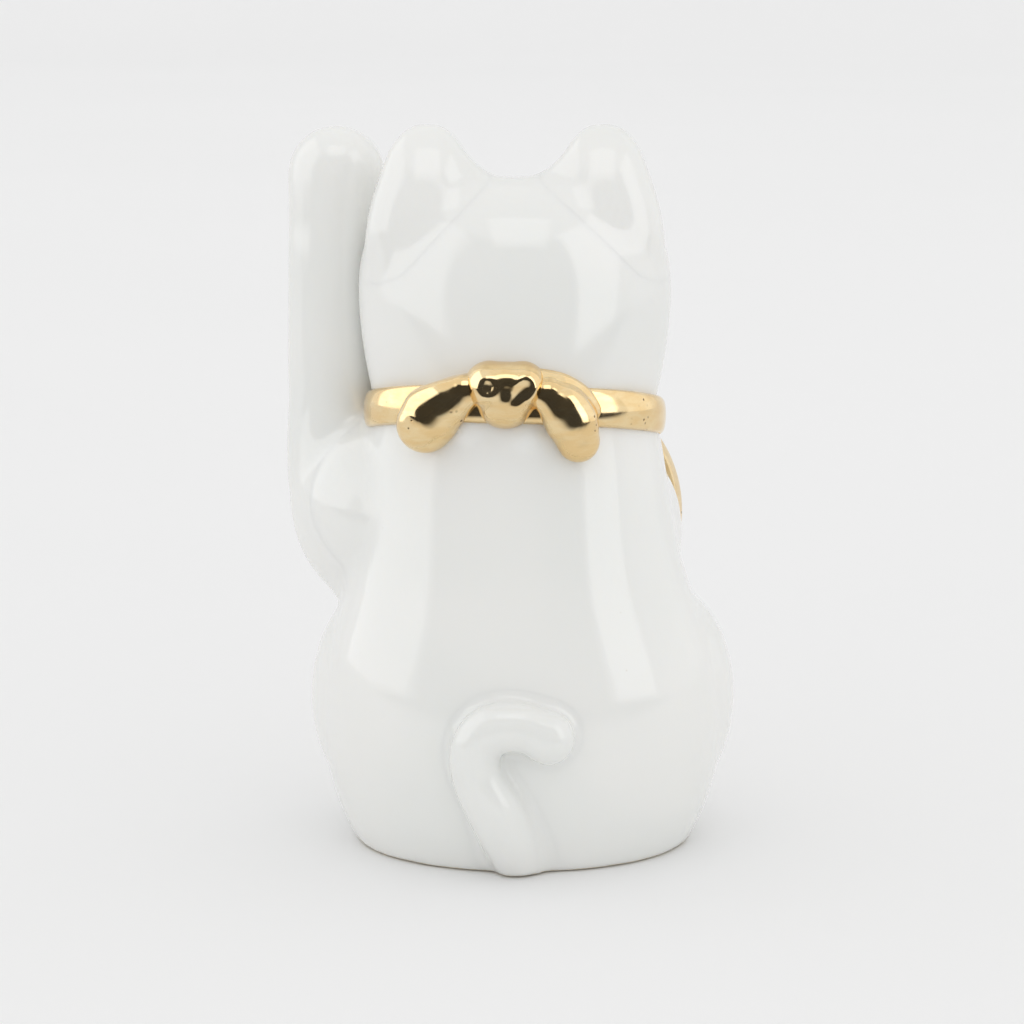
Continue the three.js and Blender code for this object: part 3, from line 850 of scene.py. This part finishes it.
modify(chisel, "BEVEL", width=0.14 * MM, segments=2)
carve(coin, chisel, "UNION")
discard(chisel)
modify(coin, "BEVEL", width=0.4 * MM, segments=4, limit_method="ANGLE", angle_limit=math.radians(60))
coin.rotation_euler = coin_turn
coin.location = metres(coin_middle)
pick(coin)
settle("coin_gold")
bpy.ops.object.shade_smooth_by_angle(angle=math.radians(40))
gold["coin"] = coin
discard(head_skin, body_skin)
print("gold:", {node: len(piece.data.polygons) for node, piece in gold.items()})

# %% [markdown]
# ## Colours and a tool for materials
#
# Colours are written as sRGB hex values, as a paint chart gives them, and the shader wants them linear.
# A material is a small graph, and one function adds each of its nodes with its settings and its links.

# %% Colour and node tools
def linear(code):
    """A hex colour in sRGB as linear RGBA."""
    channels = [int(code[i:i + 2], 16) / 255 for i in (1, 3, 5)]
    return (*[c / 12.92 if c <= 0.04045 else ((c + 0.055) / 1.055) ** 2.4 for c in channels], 1)


def add(tree, kind, inputs=None, **settings):
    """Adds a node. `inputs` maps a socket's name or number to a value, or to another node's output."""
    made = tree.nodes.new(kind)
    for key, value in settings.items():
        setattr(made, key, value)
    for key, value in (inputs or {}).items():
        if isinstance(value, bpy.types.NodeSocket):
            tree.links.new(value, made.inputs[key])
        else:
            made.inputs[key].default_value = value
    return made


def fresh_material(name):
    """An empty material, its node tree, and the object's own coordinates in metres."""
    material = bpy.data.materials.new(name)
    material.use_nodes = True
    tree = material.node_tree
    tree.nodes.clear()
    return material, tree, add(tree, "ShaderNodeTexCoord").outputs["Object"]


def per_metre(size_in_mm):
    """A texture's scale for features of this size."""
    return 1 / (size_in_mm * MM)


def noise(tree, place, size_in_mm, detail):
    """Soft noise with features of this size."""
    settings = {"Vector": place, "Scale": per_metre(size_in_mm), "Detail": detail}
    return add(tree, "ShaderNodeTexNoise", settings).outputs[0]


def ramp(tree, factor, low, high):
    """0 below `low`, 1 over `high`, and smooth between them."""
    steps = {"Value": factor, "From Min": low, "From Max": high}
    return add(tree, "ShaderNodeMapRange", steps, interpolation_type="SMOOTHSTEP").outputs["Result"]


def mixed(tree, factor, low, high):
    """A colour between two colours."""
    blend = add(tree, "ShaderNodeMix", data_type="RGBA")
    for index, value in ((0, factor), (6, low), (7, high)):
        if isinstance(value, bpy.types.NodeSocket):
            tree.links.new(value, blend.inputs[index])
        else:
            blend.inputs[index].default_value = value
    return blend.outputs[2]


# %% [markdown]
# ## Glazed porcelain
#
# White porcelain under a clear glaze that was dipped and fired. The body scatters light a millimetre
# deep, which softens it, and the glaze on top is as smooth as glass, with a slow waviness where it
# ran, a faint drift between two whites in broad patches, and a few iron specks as big as dust.
# The foot ring was wiped bare before firing, so its rim is matt, and its lowest half millimetre is
# coloured a darker, warmer cream.

# %% Porcelain
def glazed_porcelain():
    material, tree, place = fresh_material("glazed_porcelain")
    slow = noise(tree, place, 26, 1.0)
    ripple = noise(tree, place, 7, 2.0)
    body = mixed(tree, ramp(tree, slow, 0.35, 0.65), linear("#F1F1EE"), linear("#EDEEEB"))
    dust = add(tree, "ShaderNodeTexVoronoi", {"Vector": place, "Scale": per_metre(9), "Randomness": 1.0})
    speck = ramp(tree, dust.outputs["Distance"], 0.018, 0.010)
    specked = mixed(tree, speck, body, linear("#D6D0C4"))
    height = add(tree, "ShaderNodeSeparateXYZ", {0: place}).outputs["Z"]
    fine = noise(tree, place, 0.5, 2.0)
    ragged = add(tree, "ShaderNodeMath", {0: fine, 1: 0.5 * MM, 2: height},
                 operation="MULTIPLY_ADD").outputs[0]
    # The lowest half millimetre, with a ragged edge, is matt and coloured a darker, warmer cream.
    bare = ramp(tree, ragged, 0.75 * MM, 0.55 * MM)
    colour = mixed(tree, bare, specked, linear("#D9D0BC"))
    roughness = add(tree, "ShaderNodeMapRange", {"Value": bare, "To Min": 0.09, "To Max": 0.75}).outputs[0]
    grit = add(tree, "ShaderNodeMath", {0: fine, 1: bare}, operation="MULTIPLY").outputs[0]
    relief = add(tree, "ShaderNodeBump", {"Strength": 0.05, "Distance": 0.3 * MM, "Height": ripple})
    relief = add(tree, "ShaderNodeBump", {"Strength": 0.5, "Distance": 0.1 * MM, "Height": grit,
                                          "Normal": relief.outputs[0]})
    shader = add(tree, "ShaderNodeBsdfPrincipled", {
        "Base Color": colour, "Roughness": roughness, "Normal": relief.outputs[0], "IOR": 1.5,
        "Subsurface Weight": 0.12, "Subsurface Radius": (1.0, 0.9, 0.75), "Subsurface Scale": 1.2 * MM})
    add(tree, "ShaderNodeOutputMaterial", {"Surface": shader.outputs[0]})
    return material


# %% [markdown]
# ## Gold lustre
#
# Liquid bright gold brushed over the glaze and fired again at a low heat. It is a film of real gold,
# so it mirrors the studio, but it lies over brush marks and every little bump of the glaze. Where the
# brush ran dry it is thinner and paler, and burst bubbles leave pits as wide as a pencil point. The
# pits are dented by a bump and coloured dark brown inside, which is painted shade.

# %% Gold
def gold_lustre():
    material, tree, place = fresh_material("gold_lustre")
    along = add(tree, "ShaderNodeMapping", {"Vector": place, "Scale": (1, 1, 3.2)}).outputs[0]
    brush = add(tree, "ShaderNodeTexNoise", {"Vector": along, "Scale": per_metre(5), "Detail": 4.0,
                                             "Roughness": 0.6}).outputs[0]
    film = noise(tree, place, 2.2, 3.0)
    colour = mixed(tree, ramp(tree, brush, 0.35, 0.7), linear("#EBCC96"), linear("#F1D9AA"))
    cells = add(tree, "ShaderNodeTexVoronoi", {"Vector": place, "Scale": per_metre(1.5), "Randomness": 1.0})
    patch = noise(tree, place, 6, 1.0)
    pit = ramp(tree, cells.outputs["Distance"], 0.2, 0.1)
    where = ramp(tree, patch, 0.6, 0.68)
    pits_and_painted_shade = add(tree, "ShaderNodeMath", {0: pit, 1: where}, operation="MULTIPLY").outputs[0]
    # Painted shade: the pits are coloured dark brown; the bump further down dents them for real.
    colour = mixed(tree, pits_and_painted_shade, colour, linear("#6A4A22"))
    roughness = add(tree, "ShaderNodeMapRange", {"Value": film, "From Min": 0.3, "From Max": 0.7,
                                                 "To Min": 0.06, "To Max": 0.16}).outputs[0]
    wave = add(tree, "ShaderNodeBump", {"Strength": 0.06, "Distance": 0.05 * MM, "Height": brush})
    dimple = add(tree, "ShaderNodeBump", {"Strength": 0.6, "Distance": 0.1 * MM, "Height": pits_and_painted_shade,
                                          "Normal": wave.outputs[0]}, invert=True)
    shader = add(tree, "ShaderNodeBsdfPrincipled", {
        "Base Color": colour, "Metallic": 1.0, "Roughness": roughness, "Normal": dimple.outputs[0]})
    add(tree, "ShaderNodeOutputMaterial", {"Surface": shader.outputs[0]})
    return material


# %% [markdown]
# ## Black enamel
#
# Overglaze enamel is glass with a lot of iron and cobalt in it. It is glossy, a little uneven where
# the brush loaded it, and never quite black. The iris is the same gold as the collar, put on last.

# %% Enamel
def black_enamel(name, iris=None):
    """Enamel for the lines, or for an eye whose iris is a gold ring about `iris`, in millimetres."""
    material, tree, place = fresh_material(name)
    load = noise(tree, place, 1.6, 3.0)
    colour = mixed(tree, ramp(tree, load, 0.3, 0.7), linear("#171618"), linear("#262223"))
    metallic = 0.0
    if iris:
        flat = add(tree, "ShaderNodeVectorMath", {0: place, 1: (1, 0, 1)}, operation="MULTIPLY").outputs[0]
        centre = (MM * iris.x, 0, MM * iris.z)
        away = add(tree, "ShaderNodeVectorMath", {0: flat, 1: centre}, operation="DISTANCE").outputs["Value"]
        outer = ramp(tree, away, 2.25 * MM, 2.1 * MM)
        inner = ramp(tree, away, 1.35 * MM, 1.5 * MM)
        ring = add(tree, "ShaderNodeMath", {0: outer, 1: inner}, operation="MULTIPLY").outputs[0]
        colour = mixed(tree, ring, colour, linear("#E6BC74"))
        metallic = ring
    wave = add(tree, "ShaderNodeBump", {"Strength": 0.3, "Distance": 0.08 * MM, "Height": load})
    shader = add(tree, "ShaderNodeBsdfPrincipled", {
        "Base Color": colour, "Metallic": metallic, "Roughness": 0.12, "Normal": wave.outputs[0]})
    add(tree, "ShaderNodeOutputMaterial", {"Surface": shader.outputs[0]})
    return material


# %% [markdown]
# ## Every piece takes its finish and its place in the frame
#
# The new pieces stand for the frame's own solids, which are hidden, and each takes one of the
# materials made above. Nothing on the figurine moves, so everything rides on the one body.

# %% Finish and ride
def finish_piece(piece, material, slot, *nodes):
    piece.data.materials.clear()
    piece.data.materials.append(material)
    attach(piece, "root")
    if nodes:
        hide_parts(*nodes)


porcelain = glazed_porcelain()
lustre = gold_lustre()
for node, piece in pieces.items():
    finish_piece(piece, porcelain, "porcelain", node)
for node, piece in gold.items():
    finish_piece(piece, lustre, "gold_lustre", node)
for node, middle in eye_places.items():
    finish_piece(enamel[node], black_enamel(node + "_enamel", middle), "black_enamel", node)
finish_piece(enamel["nose"], lustre, "gold_lustre", "nose")
finish_piece(mouth, black_enamel("line_enamel"), "black_enamel")
print("pieces:", len(pieces) + len(gold) + len(enamel) + 1)

# %% [markdown]
# ## The studio
#
# A white tent lights the cat evenly from all round. A glossy thing is shaped by what it mirrors, so
# panels stand at both sides and overhead that only the glaze and the gold see, and the gap between
# them draws the darker stripe down the back. The floor is a matt pale sheet that runs back and up,
# with no corner in it. Towards the gap, its colour is painted dark grey wherever the glaze and the
# gold mirror it, as a painted reflection of the gap.

# %% Floor
bpy.ops.mesh.primitive_plane_add(size=1, location=(0, 0, 0))
floor = settle("studio_floor")
bpy.ops.transform.resize(value=(7, 1, 1))
bpy.ops.transform.resize(value=(1, 6, 1), center_override=(0, 0, 0))
settle("studio_floor")
pick(floor)
bpy.ops.object.mode_set(mode="EDIT")
bpy.ops.mesh.select_mode(type="EDGE")
bpy.ops.mesh.select_all(action="DESELECT")
bpy.ops.object.mode_set(mode="OBJECT")
for edge in floor.data.edges:
    edge.select = all(floor.data.vertices[v].co.y < -1 for v in edge.vertices)
bpy.ops.object.mode_set(mode="EDIT")
sweep, turns = 1.0, 12
for k in range(turns):
    a, b = (math.pi / 2 * share / turns for share in (k, k + 1))
    step = (0, -sweep * (math.sin(b) - math.sin(a)), sweep * (math.cos(a) - math.cos(b)))
    bpy.ops.mesh.extrude_region_move(TRANSFORM_OT_translate={"value": step})
bpy.ops.mesh.extrude_region_move(TRANSFORM_OT_translate={"value": (0, 0, 3)})
bpy.ops.object.mode_set(mode="OBJECT")
bpy.ops.object.shade_smooth()
sheet, tree, place = fresh_material("studio_sheet")
grain = add(tree, "ShaderNodeTexNoise", {"Vector": place, "Scale": per_metre(400)}).outputs[0]
shade = mixed(tree, grain, linear("#F5F5F5"), linear("#F3F3F3"))
toward_gap = ramp(tree, add(tree, "ShaderNodeSeparateXYZ", {0: place}).outputs["Y"], 0.08, 0.25)
mirrored = add(tree, "ShaderNodeLightPath").outputs["Is Glossy Ray"]
# Painted reflection: seen in glossy rays, the floor towards the gap is coloured dark grey in place of the
# dark gap.
painted_dark_reflection = add(tree, "ShaderNodeMath", {0: toward_gap, 1: mirrored}, operation="MULTIPLY").outputs[0]
shade = mixed(tree, painted_dark_reflection, shade, linear("#404040"))
shader = add(tree, "ShaderNodeBsdfPrincipled", {"Base Color": shade, "Roughness": 0.5,
                                                "Specular IOR Level": 0.0})
add(tree, "ShaderNodeOutputMaterial", {"Surface": shader.outputs[0]})
floor.data.materials.append(sheet)

# %% Lights
def panel(name, place, aim, size, power):
    """A soft area light, in metres and watts, turned to face a point."""
    bpy.ops.object.light_add(type="AREA", location=place)
    lamp = bpy.context.object
    lamp.name = name
    lamp.data.shape = "RECTANGLE"
    lamp.data.size, lamp.data.size_y = size
    lamp.data.energy = power
    lamp.rotation_euler = (Vector(aim) - Vector(place)).to_track_quat("-Z", "Y").to_euler()
    return lamp


def around(azimuth, height, away):
    """A place round the cat: degrees from its back towards its left, degrees up, and metres away."""
    turn, lift = math.radians(azimuth), math.radians(height)
    level = away * math.cos(lift)
    return (level * math.sin(turn), level * math.cos(turn), chest[2] + away * math.sin(lift))


chest = (0, 0, cad_box[1][2] / 2)
for name, place, size, power in (
    ("left_panel", around(92, 28, 0.8), (1.0, 0.86), 2.1),
    ("right_panel", around(-63, 28, 0.8), (0.40, 0.86), 1.2),
    ("right_back_panel", around(-105, 28, 0.8), (0.56, 0.86), 0.2),
    ("top_panel", around(0, 64, 0.8), (0.50, 0.40), 0.6),
):
    panel(name, place, chest, size, power).visible_diffuse = False

# %% The tent, with a dark gap that only shows in reflections
world = bpy.data.worlds.new("studio")
bpy.context.scene.world = world
world.use_nodes = True
tree = world.node_tree
way = add(tree, "ShaderNodeSeparateXYZ", {0: add(tree, "ShaderNodeTexCoord").outputs["Generated"]}).outputs
azimuth = add(tree, "ShaderNodeMath", {0: way["X"], 1: way["Y"]}, operation="ARCTAN2").outputs[0]
gap = [
    ramp(tree, azimuth, math.radians(-50), math.radians(-44)),
    ramp(tree, azimuth, math.radians(62), math.radians(54)),
    ramp(tree, way["Z"], math.sin(math.radians(56)), math.sin(math.radians(48))),
    add(tree, "ShaderNodeLightPath").outputs["Is Glossy Ray"],
]
while len(gap) > 1:
    gap.append(add(tree, "ShaderNodeMath", {0: gap.pop(0), 1: gap.pop(0)}, operation="MULTIPLY").outputs[0])
strength = add(tree, "ShaderNodeMapRange", {"Value": gap[0], "To Min": 0.96, "To Max": 0.05}).outputs[0]
seen = add(tree, "ShaderNodeLightPath").outputs["Is Camera Ray"]
strength = add(tree, "ShaderNodeMix", {0: seen, 2: strength, 3: 0.86}).outputs[0]
sky = tree.nodes["Background"]
sky.inputs["Color"].default_value = linear("#FFFFFF")
tree.links.new(strength, sky.inputs["Strength"])

# %% Camera
distance, elevation = 0.55, math.radians(10)
aim = Vector((0, 0, 0.0539))
eye = aim + distance * Vector((0, math.cos(elevation), math.sin(elevation)))
bpy.ops.object.camera_add(location=eye, rotation=(aim - eye).to_track_quat("-Z", "Y").to_euler())
camera = bpy.context.object
camera.data.sensor_width = 36
camera.data.lens = 119.7
camera.data.clip_start = 0.01
bpy.context.scene.camera = camera
bpy.context.scene.view_settings.view_transform = "Standard"
print("camera at", [round(value, 3) for value in eye])
